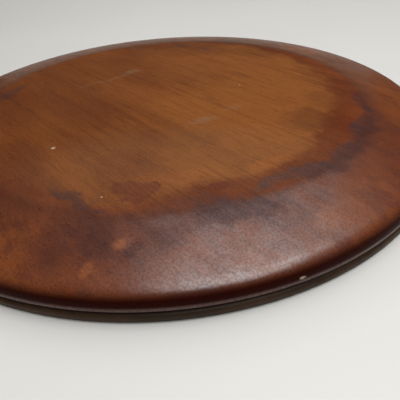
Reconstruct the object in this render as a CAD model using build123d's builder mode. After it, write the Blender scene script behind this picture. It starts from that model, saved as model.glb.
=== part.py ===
"""Lazy susan: a turned wooden tray on a square ball bearing, over a thin wooden base of the same diameter.

Origin: centre of the resting plane. +Z is the spin axis, +X runs along the grain of the boards. Millimetres.
"""

import os
from math import cos, radians, sqrt, tan

from build123d import *

os.makedirs("parts", exist_ok=True)

# ---- Driving dimensions ----------------------------------------------------------------------

# Tray, the wooden disc that turns
tray_radius = 203.0
tray_thickness = 17.5
rim_width = 46.0  # from the crease round the flat middle out to the edge
rim_slope = 8.5  # degrees that the rim falls away outside the crease
crease_radius = 100.0
nose_radius = 10.0  # or as much as the edge has room for
lip_bevel = 1.0  # arris under the nose, broken by sanding

# Base, the wooden disc that stands still
base_radius = 203.0
base_thickness = 5.0
base_round = 2.5  # upper edge, rounded over
base_bevel = 0.6  # lower arris
disc_gap = 2.0  # daylight between base and tray

# Both discs are glued up from the same number of boards, laid side by side along X
board_count = 5

# Feet, let into the underside of the base
foot_count = 6
foot_inset = 18.0  # from the edge of the base to the middle of a foot
foot_radius = 8.0
foot_thickness = 2.5
foot_proud = 1.0
foot_ease = 0.4
glue_gap = 0.1

# Square ball bearing of pressed sheet steel
plate_side = 152.0
plate_corner = 12.0
sheet = 1.0
bearing_height = 8.0
hole_inset = 10.0  # from the side of the plate to the middle of a screw hole
plate_hole_radius = 2.1

# Balls, the grooves that they run in, and the cage that spaces them
race_radius = 55.0
ball_radius = 2.0
ball_count = 24
ball_clearance = 0.06
groove_wall = 45.0  # degrees from level
shoulder_width = 2.4
shoulder_run = 1.6  # how far out the sheet goes as it drops from the shoulder to the flange
flange_overlap = 4.0  # pressed ring carried on into the square flange
bend_radius = 0.8  # at the middle of the sheet
cage_thickness = 1.0
cage_land = 2.4  # cage left on each side of the balls
cage_gap = 0.4  # between the cage and the shoulders
pocket_clearance = 0.1

# Rolled lip of the lower plate, hooked over the inner edge of the upper one
upper_inner_land = 5.0  # flat left inside the upper groove, under the lip
neck_clearance = 0.6
lip_clearance = 0.5
lip_reach = 2.6  # how far the lip goes over that flat

# Pan head wood screws
head_radius = 3.5
head_gap = 1.2  # between the heads of the lower and upper screws as they pass
head_round = 1.0
thread_radius = 1.75
core_radius = 1.2
thread_pitch = 1.5
tip_length = 1.8
lower_screw_length = 5.0
upper_screw_length = 9.5
pilot_clearance = 0.05
recess_span = 3.8
recess_width = 0.9
recess_depth = 1.3

# Turned pocket over the bearing, and the hole that lets a screwdriver up to the upper plate
pocket_margin = 2.0
access_radius = 8.0

# ---- Levels and sizes that follow ------------------------------------------------------------

base_bottom = foot_proud
base_top = base_bottom + base_thickness
tray_bottom = base_top + disc_gap
tray_top = tray_bottom + tray_thickness
bearing_top = base_top + bearing_height
ball_level = base_top + bearing_height / 2

centre_radius = tray_radius - rim_width
rim_drop = rim_width * tan(radians(rim_slope))
edge_height = tray_thickness - rim_drop - lip_bevel
nose_limit = edge_height / tan(radians(90 - rim_slope) / 2)
nose = min(nose_radius, 0.98 * nose_limit)
foot_circle = base_radius - foot_inset

hole_spacing = plate_side - 2 * hole_inset
corner_reach = (plate_side / 2 - plate_corner) * sqrt(2) + plate_corner
pocket_radius = corner_reach + pocket_margin
screw_circle = hole_spacing / 2 * sqrt(2)
pilot_radius = thread_radius + pilot_clearance
head_height = (bearing_height - 2 * sheet - head_gap) / 2

widest = 2 * max(tray_radius, base_radius)
board_width = widest / board_count
board_height = tray_top - base_bottom

# Pressed plates, at the middle of the sheet: heights are counted down from the balls' centres
groove_radius = ball_radius + ball_clearance + sheet / 2
shoulder_depth = cage_thickness / 2 + cage_gap + sheet / 2
flange_depth = bearing_height / 2 - sheet / 2
groove_point = groove_radius / cos(radians(groove_wall))
groove_half = (groove_point - shoulder_depth) / tan(radians(groove_wall))
shoulder_end = groove_half + shoulder_width
flange_start = shoulder_end + shoulder_run
ring_radius = race_radius + flange_start + flange_overlap
upper_inner_radius = race_radius - groove_half - upper_inner_land
neck_radius = upper_inner_radius - neck_clearance - sheet / 2
lip_height = shoulder_depth + sheet + lip_clearance
lip_end = upper_inner_radius + lip_reach


# ---- Wooden discs, each glued up from boards and then turned ---------------------------------

with BuildPart() as tray_blank:
    with BuildSketch(Plane.XZ):
        with BuildLine():
            FilletPolyline(
                (0, tray_bottom),
                (tray_radius - lip_bevel, tray_bottom),
                (tray_radius, tray_bottom + lip_bevel),
                (tray_radius, tray_top - rim_drop),
                (centre_radius, tray_top),
                (0, tray_top),
                radius=[0, 0, 0, nose, crease_radius, 0],
                close=True,
            )
        make_face()
    revolve(axis=Axis.Z)
    # pocket for the bearing
    with BuildSketch(Plane.XY.offset(tray_bottom)):
        Circle(pocket_radius)
    extrude(amount=bearing_top - tray_bottom, mode=Mode.SUBTRACT)
    # pilot holes for the upper plate's screws
    with BuildSketch(Plane.XY.offset(bearing_top)):
        with GridLocations(hole_spacing, hole_spacing, 2, 2):
            Circle(pilot_radius)
    extrude(amount=upper_screw_length - sheet, mode=Mode.SUBTRACT)

with BuildPart() as base_blank:
    with BuildSketch(Plane.XZ):
        with BuildLine():
            FilletPolyline(
                (0, base_bottom),
                (base_radius - base_bevel, base_bottom),
                (base_radius, base_bottom + base_bevel),
                (base_radius, base_top),
                (0, base_top),
                radius=[0, 0, 0, base_round, 0],
                close=True,
            )
        make_face()
    revolve(axis=Axis.Z)
    # seats for the feet
    with BuildSketch(Plane.XY):
        with PolarLocations(foot_circle, foot_count, start_angle=180 / foot_count):
            Circle(foot_radius + glue_gap)
    extrude(amount=foot_thickness, mode=Mode.SUBTRACT)
    # pilot holes for the lower plate's screws
    with BuildSketch(Plane.XY.offset(base_top)):
        with GridLocations(hole_spacing, hole_spacing, 2, 2):
            Circle(pilot_radius)
    extrude(amount=sheet - lower_screw_length, mode=Mode.SUBTRACT)
    # access hole, beside the plate, where each corner of the upper plate can be turned over it
    with BuildSketch(Plane.XY.offset(base_bottom)):
        with Locations((screw_circle, 0)):
            Circle(access_radius)
    extrude(amount=base_thickness, mode=Mode.SUBTRACT)


def saw_board(blank, number):
    """One board of a glued-up disc: what lies between its two glue lines, out to the turned edge."""
    first_line = (number - board_count / 2) * board_width
    last_line = first_line + board_width
    if number == 0:
        first_line -= board_width
    if number == board_count - 1:
        last_line += board_width
    with BuildPart() as board:
        add(blank.part)
        with BuildSketch(Plane.XY.offset(base_bottom)):
            with Locations((0, (first_line + last_line) / 2)):
                Rectangle(widest + board_width, last_line - first_line)
        extrude(amount=board_height, mode=Mode.INTERSECT)
    return board.part


for number in range(board_count):
    for name, blank in (("tray", tray_blank), ("base", base_blank)):
        board = saw_board(blank, number)
        board.label = f"{name}_board_{number + 1}"
        export_step(board, f"parts/{board.label}.step")


# ---- Feet ------------------------------------------------------------------------------------

for number in range(foot_count):
    angle = 180 / foot_count + number * 360 / foot_count
    with BuildPart() as rubber_foot:
        with BuildSketch(Plane.XY):
            with PolarLocations(foot_circle, 1, start_angle=angle):
                Circle(foot_radius)
        extrude(amount=foot_thickness)
        fillet(rubber_foot.edges().group_by(Axis.Z)[0], foot_ease)
    rubber_foot.part.label = f"rubber_foot_{number + 1}"
    export_step(rubber_foot.part, f"parts/{rubber_foot.part.label}.step")


# ---- Bearing plates --------------------------------------------------------------------------


def sheet_point(out_from_race, depth, side):
    """A point of the pressed section; side is -1 under the balls and +1 over them."""
    return (race_radius + out_from_race, ball_level + side * depth)


def pressed_section(side):
    """Middle line of the sheet from the flange inwards, over the shoulder and through the groove."""
    corners = (
        (flange_start + flange_overlap, flange_depth),
        (flange_start, flange_depth),
        (shoulder_end, shoulder_depth),
        (groove_half, shoulder_depth),
        (0, groove_point),
        (-groove_half, shoulder_depth),
    )
    return [sheet_point(out, depth, side) for out, depth in corners]


def square_flange(level):
    """The plate's flat square, with its screw holes, open in the middle for the pressed ring."""
    with BuildPart() as flange:
        with BuildSketch(Plane.XY.offset(level)):
            RectangleRounded(plate_side, plate_side, plate_corner)
            Circle(ring_radius - flange_overlap / 2, mode=Mode.SUBTRACT)
            with GridLocations(hole_spacing, hole_spacing, 2, 2):
                Circle(plate_hole_radius, mode=Mode.SUBTRACT)
        extrude(amount=sheet)
    return flange.part


lower_flange = square_flange(base_top)
upper_flange = square_flange(bearing_top - sheet)

with BuildPart() as lower_bearing_plate:
    add(lower_flange)
    with BuildSketch(Plane.XZ):
        with BuildLine():
            FilletPolyline(
                *pressed_section(-1),
                (neck_radius, ball_level - shoulder_depth),
                (neck_radius, ball_level + lip_height),
                (lip_end, ball_level + lip_height),
                radius=[bend_radius] * 3 + [groove_radius] + [bend_radius] * 3,
            )
        trace(line_width=sheet)
    revolve(axis=Axis.Z)
lower_bearing_plate.part.label = "lower_bearing_plate"
export_step(lower_bearing_plate.part, "parts/lower_bearing_plate.step")

with BuildPart() as upper_bearing_plate:
    add(upper_flange)
    with BuildSketch(Plane.XZ):
        with BuildLine():
            FilletPolyline(
                *pressed_section(1),
                (upper_inner_radius, ball_level + shoulder_depth),
                radius=[bend_radius] * 3 + [groove_radius] + [bend_radius],
            )
        trace(line_width=sheet)
    revolve(axis=Axis.Z)
upper_bearing_plate.part.label = "upper_bearing_plate"
export_step(upper_bearing_plate.part, "parts/upper_bearing_plate.step")


# ---- Balls and their cage --------------------------------------------------------------------

with BuildPart() as bearing_balls:
    with Locations((0, 0, ball_level)):
        with PolarLocations(race_radius, ball_count):
            Sphere(ball_radius)
bearing_balls.part.label = "bearing_balls"
export_step(bearing_balls.part, "parts/bearing_balls.step")

with BuildPart() as ball_cage:
    with BuildSketch(Plane.XY.offset(ball_level - cage_thickness / 2)):
        Circle(race_radius + ball_radius + cage_land)
        Circle(race_radius - ball_radius - cage_land, mode=Mode.SUBTRACT)
        with PolarLocations(race_radius, ball_count):
            Circle(ball_radius + pocket_clearance, mode=Mode.SUBTRACT)
    extrude(amount=cage_thickness)
ball_cage.part.label = "ball_cage"
export_step(ball_cage.part, "parts/ball_cage.step")


# ---- Screws ----------------------------------------------------------------------------------


def wood_screw(length):
    """Pan head wood screw, pointing down from the underside of its head at the origin."""
    ridges = int((length - sheet - tip_length) / thread_pitch)
    thread = []
    for ridge in range(ridges):
        start = -sheet - ridge * thread_pitch
        thread.append((core_radius, start))
        thread.append((thread_radius, start - thread_pitch / 2))
    with BuildPart() as screw:
        with BuildSketch(Plane.XZ):
            with BuildLine():
                FilletPolyline(
                    (0, head_height),
                    (head_radius, head_height),
                    (head_radius, 0),
                    (thread_radius, 0),
                    (thread_radius, -sheet / 2),
                    *thread,
                    (core_radius, tip_length - length),
                    (0, -length),
                    radius=[0, head_round] + [0] * (len(thread) + 5),
                    close=True,
                )
            make_face()
        revolve(axis=Axis.Z)
        with BuildSketch(Plane.XY.offset(head_height)):
            Rectangle(recess_span, recess_width)
            Rectangle(recess_width, recess_span)
        extrude(amount=-recess_depth, taper=10, mode=Mode.SUBTRACT)
    return screw.part


def four_screws(screw):
    """The screw in each corner of a bearing plate."""
    with BuildPart() as screws:
        with GridLocations(hole_spacing, hole_spacing, 2, 2):
            add(screw)
    return screws.part


lower_plate_screws = four_screws(wood_screw(lower_screw_length).moved(Location((0, 0, base_top + sheet))))
lower_plate_screws.label = "lower_plate_screws"
export_step(lower_plate_screws, "parts/lower_plate_screws.step")

upper_plate_screws = four_screws(
    wood_screw(upper_screw_length).moved(Location((0, 0, bearing_top - sheet), (180, 0, 0)))
)
upper_plate_screws.label = "upper_plate_screws"
export_step(upper_plate_screws, "parts/upper_plate_screws.step")
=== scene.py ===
# %% [markdown]
# # A lazy susan in stained, worn wood
#
# The object is a wooden tray that turns on a hidden ball bearing over a thin wooden base.
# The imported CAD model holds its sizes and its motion, so this lesson starts by loading it.
# Everything below is then about looks: a turned mesh for the tray, and finishes for each piece.

# %% Load the frame
import math
import random

import bmesh
import bpy
from mathutils import Matrix, Vector


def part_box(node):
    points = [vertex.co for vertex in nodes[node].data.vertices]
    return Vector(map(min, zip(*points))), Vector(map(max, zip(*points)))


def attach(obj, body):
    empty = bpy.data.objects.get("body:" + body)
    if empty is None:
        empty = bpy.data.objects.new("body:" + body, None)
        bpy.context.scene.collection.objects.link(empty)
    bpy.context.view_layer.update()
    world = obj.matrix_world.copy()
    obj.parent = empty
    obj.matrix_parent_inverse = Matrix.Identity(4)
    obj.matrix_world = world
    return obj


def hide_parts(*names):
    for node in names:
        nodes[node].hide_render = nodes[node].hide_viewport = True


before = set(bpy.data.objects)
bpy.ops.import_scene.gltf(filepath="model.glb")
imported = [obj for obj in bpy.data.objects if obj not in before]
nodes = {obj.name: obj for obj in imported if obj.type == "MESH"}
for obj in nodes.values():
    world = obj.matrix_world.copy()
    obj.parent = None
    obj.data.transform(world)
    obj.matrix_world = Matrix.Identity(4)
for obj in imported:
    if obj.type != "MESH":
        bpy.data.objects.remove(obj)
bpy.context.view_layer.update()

# %% [markdown]
# ## Camera
#
# The tray is seen close up, from just above its near edge, so its far edge looks much smaller.
# Three things place a camera: where it stands, what it looks at, and how far it leans to one
# side. Their values come from a fit of the disc's outline and edges, not from a round choice.
# The lens is the wide one that a hand-held phone has.

# %% Camera
FRONT_TURN = math.radians(54.0)  # from the grain to what someone at the front calls right
CAMERA_PLACE = Vector((0.2561, -0.1861, 0.1549))
CAMERA_TARGET = Vector((0.1205, -0.0721, 0.0210))
CAMERA_LEAN = math.radians(-3.45)

camera = bpy.data.objects.new("camera", bpy.data.cameras.new("camera"))
bpy.context.scene.collection.objects.link(camera)
camera.data.sensor_width = 36.0
camera.data.lens = 36.0
camera.data.clip_start = 0.01
aim = (CAMERA_TARGET - CAMERA_PLACE).to_track_quat("-Z", "Y").to_matrix()
camera.rotation_mode = "QUATERNION"
camera.rotation_quaternion = (aim @ Matrix.Rotation(CAMERA_LEAN, 3, "Z")).to_quaternion()
camera.location = CAMERA_PLACE
bpy.context.scene.camera = camera
print("camera stands", round(CAMERA_PLACE.length, 3), "m from the middle of the resting plane")

# %% [markdown]
# ## Node helpers
#
# Shader graphs are easier to read when each node is one line. `put` makes a node, sets its
# options and fills its sockets, from plain values or from another node's output.
# The other helpers name the few sums and blends that every finish below uses.

# %% Node helpers
def put(tree, kind, sockets=None, **options):
    """A node of this kind; each socket gets a value, or a link if it is given another socket."""
    made = tree.nodes.new(kind)
    for name, value in options.items():
        setattr(made, name, value)
    for name, value in (sockets or {}).items():
        if isinstance(value, bpy.types.NodeSocket):
            tree.links.new(value, made.inputs[name])
        else:
            made.inputs[name].default_value = value
    return made


def maths(tree, operation, first, second=0.0, clamp=False):
    made = put(tree, "ShaderNodeMath", {0: first, 1: second}, operation=operation, use_clamp=clamp)
    return made.outputs[0]


def ramp(tree, value, low, high, to_low=0.0, to_high=1.0):
    """Smooth step: to_low below low, to_high above high."""
    steps = {"Value": value, "From Min": low, "From Max": high, "To Min": to_low, "To Max": to_high}
    return put(tree, "ShaderNodeMapRange", steps, interpolation_type="SMOOTHSTEP").outputs[0]


def blend(tree, factor, first, second, mode="MIX"):
    colours = {0: factor, 6: first, 7: second}
    return put(tree, "ShaderNodeMix", colours, data_type="RGBA", blend_type=mode).outputs[2]


def noise(tree, vector, scale, detail=2.0, roughness=0.5, distortion=0.0):
    wanted = {"Vector": vector, "Scale": scale, "Detail": detail, "Roughness": roughness,
              "Distortion": distortion}
    return put(tree, "ShaderNodeTexNoise", wanted).outputs["Fac"]


def stretched(tree, vector, along, across, up=None):
    """Coordinates scaled so that a pattern is drawn out along the grain, which is X."""
    up = across if up is None else up
    return put(tree, "ShaderNodeMapping", {"Vector": vector, "Scale": (along, across, up)}).outputs[0]


def group(name, masks):
    """A node group that reads a place and gives these masks: (tree, its input node, its output node)."""
    tree = bpy.data.node_groups.new(name, "ShaderNodeTree")
    tree.interface.new_socket("Vector", in_out="INPUT", socket_type="NodeSocketVector")
    for title in masks:
        tree.interface.new_socket(title, in_out="OUTPUT", socket_type="NodeSocketFloat")
    return tree, tree.nodes.new("NodeGroupInput"), tree.nodes.new("NodeGroupOutput")


def finish_material(name, **plain):
    """A new material: (material, its tree, its Principled node) with plain values set on the shader."""
    made = bpy.data.materials.new(name)
    made.use_nodes = True
    shader = made.node_tree.nodes["Principled BSDF"]
    for title, value in plain.items():
        shader.inputs[title.replace("_", " ")].default_value = value
    return made, made.node_tree, shader


def dress(piece, material):
    """Puts one material on the whole of a piece."""
    piece.data.materials.clear()
    piece.data.materials.append(material)


def tint(red, green, blue):
    """A colour given as 0 to 255 steps, turned into the linear values that shaders use."""
    steps = (step / 255 for step in (red, green, blue))
    linear = [s / 12.92 if s <= 0.04045 else ((s + 0.055) / 1.055) ** 2.4 for s in steps]
    return (*linear, 1.0)


# %% [markdown]
# ## Sizes of the tray
#
# The tray was turned on a lathe: a flat middle, a broad rim that falls away, a round nose and a
# small broken arris under it. Its levels and its radius are read from the CAD boards. The rim,
# slope, crease, nose, arris and pocket repeat the CAD's figures in metres. Only the belly is
# new: it makes the rim a little fuller than the CAD's straight slope.

# %% Sizes of the tray
BOARDS = sum(name.startswith("tray_board_") for name in nodes)
tray_low, tray_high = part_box("tray_board_3")
for number in range(1, BOARDS + 1):
    low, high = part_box(f"tray_board_{number}")
    tray_low = Vector(map(min, tray_low, low))
    tray_high = Vector(map(max, tray_high, high))
RADIUS = round(tray_high.x, 4)
TOP, BOTTOM = tray_high.z, tray_low.z
BOARD_WIDTH = 2 * RADIUS / BOARDS
RIM_WIDTH = 0.046
RIM_SLOPE = math.radians(8.5)
RIM_BELLY = math.radians(3.8)  # the rim is a little fuller than a straight slope
NOSE = 0.010
ARRIS = 0.001
CREASE = 0.100
POCKET_RADIUS = 0.1045
POCKET_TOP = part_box("upper_bearing_plate")[1].z
print("tray radius", RADIUS, "from", round(BOTTOM, 4), "to", round(TOP, 4))

# %% [markdown]
# ## Turning the tray
#
# On a lathe a gouge follows one outline while the wood spins under it, and `bmesh.ops.spin`
# does the same. The outline is a handful of points, with arcs where the tool swept round.
# A glued-up blank is then "unglued" again: the finished disc is cut along its glue lines, so
# each board is a piece of its own, which is how the CAD has it.

# %% Turning the tray
CHIP_PLACE = Vector((0.1900, -0.0710, BOTTOM + 0.0038))
CHIP_HALF = (0.0021, 0.0010)
CHIP_DEPTH = 0.0007
CHIP_REACH = 0.004  # the mesh is made finer this close to the chip
TURNS = 480


def arc(centre, radius, start, end, steps):
    """Points of an arc in the outline's plane, with angles in radians."""
    angles = (start + (end - start) * step / steps for step in range(steps + 1))
    return [(centre[0] + radius * math.cos(a), centre[1] + radius * math.sin(a)) for a in angles]


def along(start, end, steps):
    """Points between two ends of a straight cut, without the ends."""
    shares = (step / steps for step in range(1, steps))
    return [tuple(a + (b - a) * share for a, b in zip(start, end)) for share in shares]


def tray_outline():
    flat_end = RADIUS - RIM_WIDTH
    middle = RADIUS - NOSE
    drop = (NOSE + (middle - flat_end) * math.sin(RIM_SLOPE)) / math.cos(RIM_SLOPE)
    upright = math.pi / 2
    steep, shallow = RIM_SLOPE + RIM_BELLY, RIM_SLOPE - RIM_BELLY
    nose = arc((middle, TOP - drop), NOSE, 0.0, upright - steep, 16)
    crease_low = TOP - CREASE * (1 - math.cos(shallow))
    fall = crease_low - nose[-1][1]
    inner = nose[-1][0] - fall / math.tan(RIM_SLOPE)
    belly = math.hypot(nose[-1][0] - inner, fall) / (2 * math.sin(RIM_BELLY))
    rim = arc((inner - belly * math.sin(shallow), crease_low - belly * math.cos(shallow)), belly,
              upright - steep, upright - shallow, 12)[1:-1]
    crease = arc((inner - CREASE * math.sin(shallow), TOP - CREASE), CREASE, upright - shallow, upright, 6)
    underside = [
        (0.0, POCKET_TOP),
        (POCKET_RADIUS, POCKET_TOP),
        (POCKET_RADIUS, BOTTOM),
        (RADIUS - ARRIS, BOTTOM),
        (RADIUS, BOTTOM + ARRIS),
    ]
    flat = along(crease[-1], (0.0, TOP), 24)
    return underside + nose + rim + crease + flat + [(0.0, TOP)]


def turned(outline):
    """The outline spun once round the Z axis, as a closed shell."""
    shell = bmesh.new()
    points = [shell.verts.new((out, 0.0, up)) for out, up in outline]
    edges = [shell.edges.new(pair) for pair in zip(points, points[1:])]
    bmesh.ops.spin(
        shell, geom=points + edges, cent=(0, 0, 0), axis=(0, 0, 1), dvec=(0, 0, 0),
        angle=2 * math.pi, steps=TURNS, use_merge=True, use_duplicate=False,
    )
    bmesh.ops.remove_doubles(shell, verts=shell.verts, dist=1e-6)
    bmesh.ops.recalc_face_normals(shell, faces=shell.faces)
    return shell


def sawn(shell, place, keep_above):
    """Cuts the shell along a glue line and closes the cut."""
    cut = bmesh.ops.bisect_plane(
        shell, geom=shell.verts[:] + shell.edges[:] + shell.faces[:], dist=1e-7,
        plane_co=(0, place, 0), plane_no=(0, 1, 0),
        clear_inner=keep_above, clear_outer=not keep_above,
    )
    rim = [part for part in cut["geom_cut"] if isinstance(part, bmesh.types.BMEdge)]
    made = bmesh.ops.edgenet_fill(shell, edges=rim)
    bmesh.ops.triangulate(shell, faces=made["faces"])


def knock_chip(shell):
    """A small break in the nose, low down at the front: finer mesh there, then some points pushed in."""
    tangent = Vector((-CHIP_PLACE.y, CHIP_PLACE.x, 0)).normalized()
    outward = Vector((CHIP_PLACE.x, CHIP_PLACE.y, 0)).normalized()

    def middle_of(edge):
        return (edge.verts[0].co + edge.verts[1].co) / 2

    near = [edge for edge in shell.edges if (middle_of(edge) - CHIP_PLACE).length < CHIP_REACH]
    bmesh.ops.subdivide_edges(shell, edges=near, cuts=4, use_grid_fill=True)
    dice = random.Random(7)
    pushed = 0
    for point in shell.verts:
        gap = point.co - CHIP_PLACE
        reach = math.hypot(gap.dot(tangent) / CHIP_HALF[0], gap.z / CHIP_HALF[1])
        if reach < 1.0 and gap.length < 1.5 * CHIP_REACH:
            point.co -= outward * CHIP_DEPTH * (1 - reach**3) * dice.uniform(0.6, 1.2)
            pushed += 1
    print("chip:", pushed, "points pushed in")


def board_piece(shell, number, name):
    """One board of the glued-up disc, as an object with smooth turned faces and sharp saw cuts."""
    board = shell.copy()
    first_line = (number - BOARDS / 2) * BOARD_WIDTH
    if number > 0:
        sawn(board, first_line, keep_above=True)
    if number < BOARDS - 1:
        sawn(board, first_line + BOARD_WIDTH, keep_above=False)
    bmesh.ops.recalc_face_normals(board, faces=board.faces)
    mesh = bpy.data.meshes.new(name)
    board.to_mesh(mesh)
    board.free()
    mesh.shade_smooth()
    mesh.set_sharp_from_angle(angle=math.radians(35))
    piece = bpy.data.objects.new(name, mesh)
    bpy.context.scene.collection.objects.link(piece)
    return piece


tray_shell = turned(tray_outline())
knock_chip(tray_shell)
tray_pieces = []
for number in range(BOARDS):
    piece = board_piece(tray_shell, number, f"turned_tray_board_{number + 1}")
    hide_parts(f"tray_board_{number + 1}")
    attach(piece, "tray")
    tray_pieces.append(piece)
    print(piece.name, len(piece.data.polygons), "faces")
tray_shell.free()

# %% [markdown]
# ## Grain
#
# Planed and turned hardwood shows several scales at once: slow clouds of colour, streaks about
# as wide as a pencil, fibres a millimetre or so apart, and finer pores and flecks. Each is the
# same kind of noise, drawn out along the grain by a different amount. A board's own number
# shifts the pattern, so that the grain breaks at a glue line as it does on a real panel.

# %% Grain
def make_grain():
    tree, start, end = group("grain", ["Clouds", "Streaks", "Pores", "Flecks", "Board", "Fibre"])
    apart = put(tree, "ShaderNodeSeparateXYZ", {0: start.outputs[0]})
    across = maths(tree, "ADD", apart.outputs[1], RADIUS)
    strip = maths(tree, "FLOOR", maths(tree, "DIVIDE", across, BOARD_WIDTH))
    lot = put(tree, "ShaderNodeTexWhiteNoise", {"W": strip}, noise_dimensions="1D")
    shift = put(tree, "ShaderNodeVectorMath", {0: lot.outputs["Color"], 1: (3.0, 1.0, 0.5)},
                operation="MULTIPLY").outputs[0]
    own = put(tree, "ShaderNodeVectorMath", {0: start.outputs[0], 1: shift}, operation="ADD").outputs[0]
    clouds = noise(tree, stretched(tree, own, 9.0, 22.0), 1.0, 3.0)
    streaks = noise(tree, stretched(tree, own, 7.0, 170.0), 1.0, 4.0, 0.6, 0.4)
    pores = noise(tree, stretched(tree, own, 150.0, 1500.0), 1.0, 2.0, 0.6)
    flecks = noise(tree, stretched(tree, own, 500.0, 1700.0), 1.0, 1.0)
    fibre = noise(tree, stretched(tree, own, 30.0, 700.0), 1.0, 5.0, 0.65)
    for title, value in (("Clouds", clouds), ("Streaks", streaks), ("Pores", pores), ("Flecks", flecks),
                         ("Board", lot.outputs["Value"]), ("Fibre", fibre)):
        tree.links.new(value, end.inputs[title])
    return tree


grain_group = make_grain()
print("grain group:", len(grain_group.nodes), "nodes")

# %% [markdown]
# ## Stains, wear and painted light
#
# Wet pots and years of wiping leave marks: a pale matte middle, a ring of blue-grey stain where
# damp stood against the crease, and small spots of their own. Each mark is a soft ellipse, listed
# below, and noise makes its border ragged. Places are given as someone at the front sees the tray:
# right and away from the middle, in shares of its radius.

# %% Stains, wear and painted light
# Some entries are painted light rather than marks: the lighter patches, and the broad sheen among the haze.
STAINS = {
    # right, away, half length, half width, turn in degrees, strength
    "shade": [
        (0.49, -0.31, 0.10, 0.085, 20, 0.9),
        (0.60, -0.17, 0.07, 0.10, 0, 0.6),
        (0.66, 0.10, 0.06, 0.22, 6, 0.5),
        (0.46, 0.48, 0.16, 0.09, -48, 0.7),
        (0.15, 0.68, 0.36, 0.10, -8, 1.0),
        (0.12, 0.57, 0.34, 0.09, -8, 0.7),
        (0.02, 0.35, 0.40, 0.25, -20, 0.3),
        (-0.45, 0.05, 0.30, 0.40, 20, 0.35),
        (-0.27, -0.79, 0.12, 0.10, 60, 1.0),
        (-0.44, -0.68, 0.10, 0.10, 20, 0.7),
        (-0.50, -0.50, 0.10, 0.14, 20, 0.5),
        (0.02, -0.30, 0.14, 0.05, -54, 0.25),
    ],
    "damp": [
        (0.15, -0.775, 0.17, 0.060, 8, 1.0),
        (0.05, -0.775, 0.46, 0.075, 4, 0.45),
        (0.26, -0.665, 0.08, 0.020, 12, 0.8),
        (0.40, -0.63, 0.13, 0.040, 14, 0.9),
        (0.55, -0.54, 0.12, 0.042, 38, 0.9),
        (0.655, -0.40, 0.12, 0.038, 56, 0.85),
        (0.71, -0.24, 0.12, 0.028, 76, 0.75),
        (-0.25, -0.67, 0.12, 0.022, -40, 0.8),
        (-0.118, -0.868, 0.034, 0.018, 30, 0.8),
        (-0.05, -0.835, 0.09, 0.045, 20, 0.6),
        (-0.20, -0.82, 0.05, 0.10, -20, 0.6),
        (-0.13, 0.70, 0.05, 0.030, 0, 0.5),
        (0.10, 0.675, 0.05, 0.030, 0, 0.5),
        (0.24, 0.60, 0.06, 0.025, -50, 0.4),
        (-0.68, 0.15, 0.16, 0.03, 70, 0.5),
    ],
    "red": [
        (-0.11, -0.65, 0.10, 0.045, -6, 0.9),
        (0.117, -0.664, 0.030, 0.018, 20, 1.0),
        (-0.53, -0.62, 0.05, 0.10, 0, 0.4),
    ],
    "bare": [
        (-0.152, -0.846, 0.022, 0.016, 20, 1.2),
        (-0.218, -0.905, 0.018, 0.034, -30, 0.8),
        (0.30, -0.57, 0.10, 0.030, 20, 0.6),
    ],
    # lighter patches of painted light
    "glow": [
        (0.0, -0.61, 0.13, 0.06, 5, 1.0),
        (0.72, 0.46, 0.09, 0.18, 30, 1.3),
        (0.86, -0.16, 0.10, 0.30, -8, 1.1),
        (0.42, -0.80, 0.14, 0.07, 28, 0.8),
        (-0.43, -0.82, 0.08, 0.11, 10, 0.8),
        (0.50, -0.73, 0.12, 0.04, 35, 0.5),
        (0.05, 0.45, 0.30, 0.14, -20, 0.3),
        (0.28, -0.40, 0.10, 0.14, -40, 0.4),
        (-0.30, -0.50, 0.14, 0.06, -45, 0.4),
    ],
    "haze": [
        (-0.15, 0.33, 0.05, 0.030, 20, 0.7),
        (-0.25, 0.25, 0.17, 0.010, 27, 0.6),
        # a broad painted sheen over the near middle
        (0.00, -0.52, 0.60, 0.26, 0, 0.3),
        (0.12, -0.25, 0.07, 0.025, 30, 0.7),
        (0.25, -0.16, 0.05, 0.020, 30, 0.4),
    ],
}
BORDERS = {  # where a mark starts and stops fading, in shares of its half sizes
    "shade": (0.5, 1.3), "damp": (0.5, 1.2), "red": (0.85, 1.0),
    "bare": (0.4, 1.2), "glow": (0.2, 1.4), "haze": (0.4, 1.2),
}
SPECKS = [(-0.39, -0.353, 0.010), (-0.204, -0.66, 0.0045), (0.31, 0.05, 0.005)]
LONG_MARK = 0.05  # a mark with a longer half length has a more ragged border


def from_above(tree, place):
    """A place on the tray as someone at the front sees it, in shares of the radius."""
    turned_back = {"Vector": place, "Rotation": (0, 0, -FRONT_TURN), "Scale": (1 / RADIUS, 1 / RADIUS, 0.0)}
    return put(tree, "ShaderNodeMapping", turned_back).outputs[0]


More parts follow.
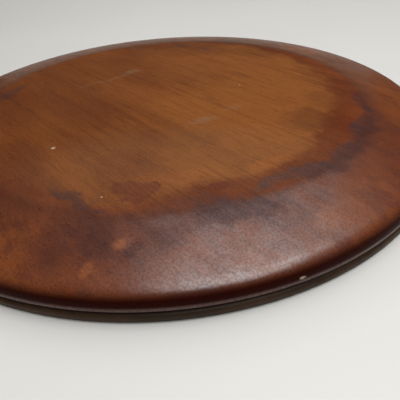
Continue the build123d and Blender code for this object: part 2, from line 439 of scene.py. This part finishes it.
def make_stains():
    tree, start, end = group("stains", [title.capitalize() for title in (*STAINS, "specks")])
    seen = from_above(tree, start.outputs[0])
    wide = put(tree, "ShaderNodeTexNoise", {"Vector": seen, "Scale": 9.0, "Detail": 5.0, "Roughness": 0.62})
    centred = put(tree, "ShaderNodeVectorMath", {0: wide.outputs["Color"], 1: (0.5, 0.5, 0.5)},
                  operation="SUBTRACT").outputs[0]

    def bent(amount):
        spread = {0: centred, 1: (amount, amount, 0.0), 2: seen}
        return put(tree, "ShaderNodeVectorMath", spread, operation="MULTIPLY_ADD").outputs[0]

    ragged = {True: bent(0.16), False: bent(0.06)}
    for title, marks in STAINS.items():
        total = 0.0
        for right, away, length, width, turn, strength in marks:
            local = put(tree, "ShaderNodeMapping", {
                "Vector": ragged[length > LONG_MARK], "Location": (right, away, 0),
                "Rotation": (0, 0, math.radians(turn)), "Scale": (length, width, 1)},
                vector_type="TEXTURE").outputs[0]
            reach = put(tree, "ShaderNodeVectorMath", {0: local}, operation="LENGTH").outputs["Value"]
            total = maths(tree, "MAXIMUM", total, ramp(tree, reach, *BORDERS[title], strength, 0.0))
        tree.links.new(total, end.inputs[title.capitalize()])
    specks = 0.0
    for right, away, size in SPECKS:
        gap = put(tree, "ShaderNodeVectorMath", {0: seen, 1: (right, away, 0)},
                  operation="DISTANCE").outputs["Value"]
        specks = maths(tree, "MAXIMUM", specks, ramp(tree, gap, 0.4 * size, size, 1.0, 0.0))
    tree.links.new(specks, end.inputs["Specks"])
    return tree


stains_group = make_stains()
print("stains group:", len(stains_group.nodes), "nodes")

# %% [markdown]
# ## Rings of wear and painted shade
#
# Other masks follow the shape instead of an accident: the middle is scrubbed, a darker line runs
# along the crease, and the nose darkens lower down with dark stain and painted shade. The worn
# middle is also lighter towards the right. These masks come from the distance to the middle
# and from the height, and the same noise makes the border of the worn middle wander.

# %% Rings of wear and painted shade
NOSE_LIGHT = BOTTOM + 0.0108  # below this height the nose starts to darken, with dark stain and painted shade
NOSE_DARK = BOTTOM + 0.0062  # below this one it is darkest


def make_rings():
    """Masks that depend on the distance from the middle, with a wandering border."""
    tree, start, end = group("rings", ["Middle", "Sun", "Crease", "Rim", "Nose", "Lip"])
    seen = from_above(tree, start.outputs[0])
    out = put(tree, "ShaderNodeVectorMath", {0: seen}, operation="LENGTH").outputs["Value"]
    wander = maths(tree, "SUBTRACT", noise(tree, seen, 3.2, 5.0, 0.62), 0.5)
    off = put(tree, "ShaderNodeVectorMath", {0: seen, 1: (0.06, -0.05, 0.0)}, operation="ADD").outputs[0]
    reach = put(tree, "ShaderNodeVectorMath", {0: off}, operation="LENGTH").outputs["Value"]
    wavy = maths(tree, "ADD", reach, maths(tree, "MULTIPLY", wander, 0.30))
    tree.links.new(ramp(tree, wavy, 0.69, 0.75, 1.0, 0.0), end.inputs["Middle"])
    apart = put(tree, "ShaderNodeSeparateXYZ", {0: seen}).outputs
    lean = maths(tree, "ADD", apart[0], maths(tree, "MULTIPLY", wander, 1.1))
    tree.links.new(ramp(tree, lean, -0.35, 0.25), end.inputs["Sun"])
    near = maths(tree, "ABSOLUTE", maths(tree, "SUBTRACT", out, 1 - RIM_WIDTH / RADIUS))
    tree.links.new(ramp(tree, near, 0.0, 0.035, 1.0, 0.0), end.inputs["Crease"])
    tree.links.new(ramp(tree, out, 0.72, 0.80), end.inputs["Rim"])
    height = put(tree, "ShaderNodeSeparateXYZ", {0: start.outputs[0]}).outputs[2]
    tree.links.new(ramp(tree, height, NOSE_DARK, NOSE_LIGHT, 1.0, 0.0), end.inputs["Nose"])
    tree.links.new(ramp(tree, height, BOTTOM + 0.0020, BOTTOM + 0.0042, 1.0, 0.0), end.inputs["Lip"])
    return tree


rings_group = make_rings()
print("rings group:", len(rings_group.nodes), "nodes")

# %% [markdown]
# ## The tray's colour
#
# A red-brown stain soaks into the wood unevenly, and a thin lacquer lies over it. In the middle
# the lacquer has been worn to a matte skin and the colour is warmer and lighter. The nose is
# nearly black-red: it took the most stain, and painted shade darkens it further where it faces
# away from the lights. Some lighter patches are painted light. The colour is mixed in layers,
# from the wood outwards: first the wood, then its marks and painted light, its grain and the edge
# of the disc.

# %% The tray's colour
GREYING = (0.86, 0.84, 0.80, 1.0)  # what years of handling take from the colour, all over
CHIP_TURN = math.atan2(CHIP_PLACE.x, -CHIP_PLACE.y)


def layers(tree):
    """A helper that lays a colour over another, where a mask says."""
    def over(under, mask, strength, colour):
        return blend(tree, maths(tree, "MULTIPLY", mask, strength), under, colour)
    return over


def stained_wood(tree, g, r):
    """Bare wood and its stain, from cloud to cloud, with a lighter worn middle."""
    over = layers(tree)
    clouds = ramp(tree, g["Clouds"], 0.3, 0.7)
    worn = blend(tree, clouds, tint(108, 56, 24), tint(122, 68, 28))
    # the worn middle is lighter and yellower towards the right
    worn = over(worn, r["Sun"], 0.75, tint(142, 86, 38))
    kept = blend(tree, clouds, tint(98, 44, 18), tint(118, 59, 27))
    return blend(tree, r["Middle"], kept, worn)


def marked_wood(tree, wood, here, g, s, damp):
    """The marks of use, shade and bare spots, red and damp stains and haze, and painted light: lighter
    patches and a broad painted sheen among the haze.
    """
    over = layers(tree)
    wood = over(wood, ramp(tree, g["Streaks"], 0.45, 0.72), 0.38, tint(80, 40, 22))
    smudges = noise(tree, stretched(tree, here, 22.0, 55.0), 1.0, 5.0, 0.7)
    wood = over(wood, ramp(tree, smudges, 0.52, 0.68), 0.30, tint(84, 44, 26))
    wood = over(wood, g["Board"], 0.10, tint(96, 44, 26))
    wood = over(wood, s["Shade"], 0.55, tint(88, 46, 26))
    wood = over(wood, s["Bare"], 0.60, tint(160, 90, 40))
    # painted light: lighter patches where sheen and light brighten the wood
    wood = over(wood, s["Glow"], 0.35, tint(150, 84, 34))
    wood = over(wood, s["Red"], 0.65, tint(88, 34, 22))
    wood = over(wood, damp, 0.85, tint(60, 36, 39))
    # greyish haze of the finish; its broad patch over the near middle is a painted sheen
    return over(wood, s["Haze"], 0.35, tint(134, 116, 96))


def grained_wood(tree, wood, here, g, r):
    """Fibre lines, pores and flecks. The rim shows fewer lines and more mottling."""
    over = layers(tree)
    fibre = ramp(tree, g["Fibre"], 0.48, 0.66)
    lines = maths(tree, "MULTIPLY", fibre, ramp(tree, r["Rim"], 0.0, 1.0, 0.8, 0.45))
    wood = over(wood, lines, 0.28, tint(60, 25, 12))
    pores = ramp(tree, g["Pores"], 0.56, 0.70)
    deep = maths(tree, "MULTIPLY", pores, ramp(tree, r["Rim"], 0.0, 1.0, 0.7, 1.2))
    wood = over(wood, deep, 0.42, tint(46, 19, 10))
    wood = over(wood, ramp(tree, g["Flecks"], 0.55, 0.72), 0.12, tint(166, 108, 70))
    wood = over(wood, ramp(tree, noise(tree, here, 1100.0, 2.0), 0.50, 0.66), 0.30, tint(52, 22, 12))
    patches = noise(tree, stretched(tree, here, 45.0, 90.0), 1.0, 4.0, 0.65)
    mottled = maths(tree, "MULTIPLY", ramp(tree, patches, 0.45, 0.65), r["Rim"])
    return over(wood, mottled, 0.45, tint(70, 34, 30))


def edged_wood(tree, wood, here, s, r):
    """The crease line, the nose's dark stain and painted shade, its arris, pale specks and the wood bared by
    the chip.
    """
    over = layers(tree)
    # a darker line along the crease
    wood = over(wood, r["Crease"], 0.25, tint(60, 30, 22))
    # the nose: dark stain, darkened further as painted shade where it faces away from the lights
    wood = over(wood, r["Nose"], 0.96, tint(33, 2, 0))
    wood = over(wood, r["Lip"], 0.7, tint(74, 30, 14))
    wood = over(wood, s["Specks"], 0.55, tint(196, 178, 150))
    chip = put(tree, "ShaderNodeMapping", {
        "Vector": here, "Location": CHIP_PLACE, "Rotation": (0, 0, CHIP_TURN),
        "Scale": (CHIP_HALF[0], 0.003, CHIP_HALF[1])}, vector_type="TEXTURE").outputs[0]
    reach = put(tree, "ShaderNodeVectorMath", {0: chip}, operation="LENGTH").outputs["Value"]
    reach = maths(tree, "ADD", reach, maths(tree, "SUBTRACT", noise(tree, here, 1600.0), 0.5))
    wood = over(wood, ramp(tree, reach, 0.5, 1.0, 1.0, 0.0), 0.85, tint(178, 162, 146))
    return blend(tree, 1.0, wood, GREYING, "MULTIPLY")


# %% [markdown]
# ## The tray's lacquer
#
# Lacquer is a clear coat over the wood. Wear has thinned it in the middle to almost nothing,
# though damp marks still shine there. The rim is glossy with a fine speckle, and duller where
# damp stood. The round nose is dulled by hands. Pores and the skin of old lacquer stand out as
# a very shallow bump.

# %% The tray's lacquer
def lacquer(tree, here, g, s, r, damp):
    """How much clear coat is left."""
    shine = ramp(tree, r["Rim"], 0.0, 1.0, 0.08, 1.0)
    shine = maths(tree, "MAXIMUM", shine, maths(tree, "MULTIPLY", s["Damp"], 0.8))
    shine = maths(tree, "MULTIPLY", shine, ramp(tree, g["Fibre"], 0.2, 0.75, 1.0, 0.8))
    rim_damp = maths(tree, "MULTIPLY", damp, r["Rim"])
    shine = maths(tree, "MULTIPLY", shine, ramp(tree, rim_damp, 0.0, 1.0, 1.0, 0.55))
    dulled = maths(tree, "SUBTRACT", r["Nose"], maths(tree, "MULTIPLY", r["Lip"], 0.6), clamp=True)
    shine = maths(tree, "MULTIPLY", shine, ramp(tree, dulled, 0.0, 1.0, 1.0, 0.0))
    speckle = ramp(tree, noise(tree, here, 850.0, 2.0), 0.35, 0.62, 0.65, 1.1)
    patches = noise(tree, stretched(tree, here, 70.0, 110.0), 1.0, 3.0)
    uneven = maths(tree, "MULTIPLY", speckle, ramp(tree, patches, 0.35, 0.62, 0.8, 1.1))
    return maths(tree, "MULTIPLY", shine, uneven, clamp=True)


def tray_relief(tree, here, g):
    """Fibres that stand up, pores that sink in, and the orange-peel skin of the lacquer."""
    pores = ramp(tree, g["Pores"], 0.56, 0.70)
    peel = noise(tree, here, 700.0, 2.0)
    height = maths(tree, "MULTIPLY", g["Fibre"], 0.6)
    height = maths(tree, "ADD", height, maths(tree, "MULTIPLY", pores, -0.6))
    height = maths(tree, "ADD", height, maths(tree, "MULTIPLY", peel, 0.9))
    return put(tree, "ShaderNodeBump", {"Strength": 0.4, "Distance": 0.0003, "Height": height}).outputs[0]


# %% [markdown]
# ## The tray's finish
#
# One material brings the layers together. Its colour and clear coat read the same grain, stains
# and painted light and rings, so that a mark that is dark is also duller or glossier in the same
# place; its roughness reads the grain and the rim, and its bump the grain. All five boards share
# it, because they were stained as one disc.

# %% The tray's finish
def make_tray_wood():
    made, tree, shader = finish_material(
        "stained_tray_wood", Coat_Roughness=0.30, Coat_IOR=1.80, Specular_IOR_Level=0.04)
    here = put(tree, "ShaderNodeTexCoord").outputs["Object"]
    patterns = [put(tree, "ShaderNodeGroup", {0: here}, node_tree=shared).outputs
                for shared in (grain_group, stains_group, rings_group)]
    g, s, r = patterns  # grain, stains and painted light, rings
    streaks = ramp(tree, g["Streaks"], 0.36, 0.64, 0.68, 1.12)
    damp = maths(tree, "MULTIPLY", s["Damp"], streaks, clamp=True)

    wood = stained_wood(tree, g, r)
    wood = marked_wood(tree, wood, here, g, s, damp)
    wood = grained_wood(tree, wood, here, g, r)
    wood = edged_wood(tree, wood, here, s, r)
    tree.links.new(wood, shader.inputs["Base Color"])

    tooth = maths(tree, "MULTIPLY", maths(tree, "SUBTRACT", g["Fibre"], 0.5), 0.25)
    rough = maths(tree, "ADD", ramp(tree, r["Rim"], 0.0, 1.0, 0.58, 0.42), tooth, clamp=True)
    tree.links.new(rough, shader.inputs["Roughness"])
    tree.links.new(lacquer(tree, here, g, s, r, damp), shader.inputs["Coat Weight"])
    tree.links.new(tray_relief(tree, here, g), shader.inputs["Normal"])
    return made


tray_wood = make_tray_wood()
for piece in tray_pieces:
    dress(piece, tray_wood)
print("tray wood:", len(tray_wood.node_tree.nodes), "nodes")

# %% [markdown]
# ## The base's finish
#
# The base has the same boards under a thinner, browner stain, and nobody polished it. It uses the
# same grain group with its own colours, which keeps the two discs related without being copies.

# %% The base's finish
def make_base_wood():
    made, tree, shader = finish_material("stained_base_wood", Specular_IOR_Level=0.2)
    here = put(tree, "ShaderNodeTexCoord").outputs["Object"]
    g = put(tree, "ShaderNodeGroup", {0: here}, node_tree=grain_group).outputs
    wood = blend(tree, ramp(tree, g["Clouds"], 0.3, 0.7), tint(43, 27, 14), tint(62, 41, 22))
    streaks = maths(tree, "MULTIPLY", ramp(tree, g["Streaks"], 0.45, 0.7), 0.5)
    wood = blend(tree, streaks, wood, tint(36, 23, 13))
    pores = maths(tree, "MULTIPLY", ramp(tree, g["Pores"], 0.56, 0.7), 0.5)
    wood = blend(tree, pores, wood, tint(24, 15, 9))
    tree.links.new(wood, shader.inputs["Base Color"])
    tree.links.new(ramp(tree, g["Fibre"], 0.2, 0.8, 0.42, 0.6), shader.inputs["Roughness"])
    bump = put(tree, "ShaderNodeBump", {"Strength": 0.3, "Distance": 0.0003, "Height": g["Fibre"]})
    tree.links.new(bump.outputs[0], shader.inputs["Normal"])
    return made


base_wood = make_base_wood()
for name, node in nodes.items():
    if name.startswith("base_board_"):
        dress(node, base_wood)
print("base wood:", len(base_wood.node_tree.nodes), "nodes")

# %% [markdown]
# ## Metal, nylon and rubber
#
# The bearing hides between the discs, but it shows when the turntable is taken apart. Pressed
# steel has a dull, cloudy zinc plating, the balls are polished, the cage is natural nylon and
# the feet are matt rubber. One function makes them all, with colours, gloss and tooth for each.

# %% Metal, nylon and rubber
def make_plain(name, light, dark, scale, rough, metal=0.0, depth=0.00005):
    """A finish of one stuff whose colour and roughness wander a little, with a fine tooth."""
    made, tree, shader = finish_material(name, Metallic=metal)
    here = put(tree, "ShaderNodeTexCoord").outputs["Object"]
    cloud = noise(tree, here, scale, 4.0, 0.6)
    tooth = noise(tree, here, scale * 12, 2.0)
    tree.links.new(blend(tree, cloud, dark, light), shader.inputs["Base Color"])
    tree.links.new(ramp(tree, cloud, 0.2, 0.8, *rough), shader.inputs["Roughness"])
    bump = put(tree, "ShaderNodeBump", {"Strength": 0.3, "Distance": depth, "Height": tooth})
    tree.links.new(bump.outputs[0], shader.inputs["Normal"])
    return made


zinc = make_plain("zinc_plated_steel", tint(200, 200, 194), tint(150, 152, 150), 90.0, (0.28, 0.46), 1.0)
polished = make_plain(
    "polished_ball_steel", tint(214, 214, 216), tint(196, 197, 200), 300.0, (0.08, 0.16), 1.0)
screw_zinc = make_plain("screw_zinc", tint(196, 190, 170), tint(150, 146, 132), 400.0, (0.3, 0.45), 1.0)
nylon = make_plain("natural_nylon", tint(226, 222, 208), tint(206, 200, 184), 120.0, (0.42, 0.58))
rubber = make_plain("foot_rubber", tint(44, 43, 42), tint(26, 26, 26), 260.0, (0.7, 0.88), depth=0.0001)

FINISHES = {
    "lower_bearing_plate": zinc,
    "upper_bearing_plate": zinc,
    "bearing_balls": polished,
    "ball_cage": nylon,
    "lower_plate_screws": screw_zinc,
    "upper_plate_screws": screw_zinc,
}
for name, node in nodes.items():
    if name in FINISHES:
        dress(node, FINISHES[name])
    elif name.startswith("rubber_foot_"):
        dress(node, rubber)
print("finishes of the bearing:", len(FINISHES), "pieces")

# %% [markdown]
# ## Table
#
# The turntable stands on a plain pale table. It is a wide disc with a barely uneven colour, so
# that the shadow under the edge stays readable.

# %% Table
TABLE_RADIUS = 3.0

table = bpy.data.objects.new("table", bpy.data.meshes.new("table"))
bpy.context.scene.collection.objects.link(table)
flat = bmesh.new()
bmesh.ops.create_circle(flat, cap_ends=True, segments=128, radius=TABLE_RADIUS)
flat.to_mesh(table.data)
flat.free()


def make_table_top():
    made, tree, shader = finish_material("pale_table")
    here = put(tree, "ShaderNodeTexCoord").outputs["Object"]
    cloud = noise(tree, here, 3.0, 3.0)
    tree.links.new(blend(tree, cloud, tint(197, 196, 192), tint(201, 200, 197)), shader.inputs["Base Color"])
    tree.links.new(ramp(tree, cloud, 0.2, 0.8, 0.45, 0.55), shader.inputs["Roughness"])
    return made


dress(table, make_table_top())
print("table radius", TABLE_RADIUS, "m")

# %% [markdown]
# ## Light
#
# A broad soft light hangs over the near side, with a weaker one beyond it. Where the rim rolls
# over, the lacquer mirrors them as a sheen, and the nose below it faces away from them and stays
# dark. A pale wall far away is seen only in the lacquer, as a warm veil on the far rim. A last
# light lifts the far side without a reflection of its own, and the room is dim and even.

# %% Light
CEILING = 1.3  # height of the lights over the tray
ROOM_LIGHT = 0.36


def from_front(right, away, up):
    """A place given as seen from the camera's side, in metres, in the frame's own axes."""
    return Matrix.Rotation(FRONT_TURN, 3, "Z") @ Vector((right, away, up))


def soft_light(name, place, aim, size, power, colour=(1.0, 1.0, 1.0), mirrored=True, lighting=True):
    """A rectangle of light; place and aim are given as seen from the front."""
    light = bpy.data.lights.new(name, "AREA")
    light.shape = "RECTANGLE"
    light.size, light.size_y = size
    light.energy = power
    light.color = colour
    made = bpy.data.objects.new(name, light)
    bpy.context.scene.collection.objects.link(made)
    made.visible_glossy = mirrored
    made.visible_camera = False
    made.visible_diffuse = lighting
    made.location = from_front(*place)
    made.rotation_mode = "QUATERNION"
    look = (Vector(aim) - Vector(place)).to_track_quat("-Z", "Y").to_matrix()
    made.rotation_quaternion = (Matrix.Rotation(FRONT_TURN, 3, "Z") @ look).to_quaternion()


soft_light("ceiling_light", (0.38, -0.60, CEILING), (0.38, -0.60, 0.0), (1.0, 1.6), 22.5)
soft_light("ceiling_glow", (0.38, 0.65, CEILING), (0.38, 0.65, 0.0), (1.0, 0.9), 5.0)
soft_light("pale_wall", (0.3, 3.5, 0.5), (0.0, 0.0, 0.3), (4.0, 0.9), 4.0,
           colour=(1.0, 0.86, 0.68), lighting=False)
soft_light("far_light", (-0.5, 1.8, 1.5), (-0.2, 1.0, 0.0), (1.2, 0.8), 8.0, mirrored=False)

world = bpy.data.worlds.new("room")
bpy.context.scene.world = world
world.use_nodes = True
world.node_tree.nodes["Background"].inputs["Color"].default_value = (1.0, 0.99, 0.96, 1.0)
world.node_tree.nodes["Background"].inputs["Strength"].default_value = ROOM_LIGHT
world.cycles_visibility.glossy = False
bpy.context.scene.view_settings.view_transform = "Standard"
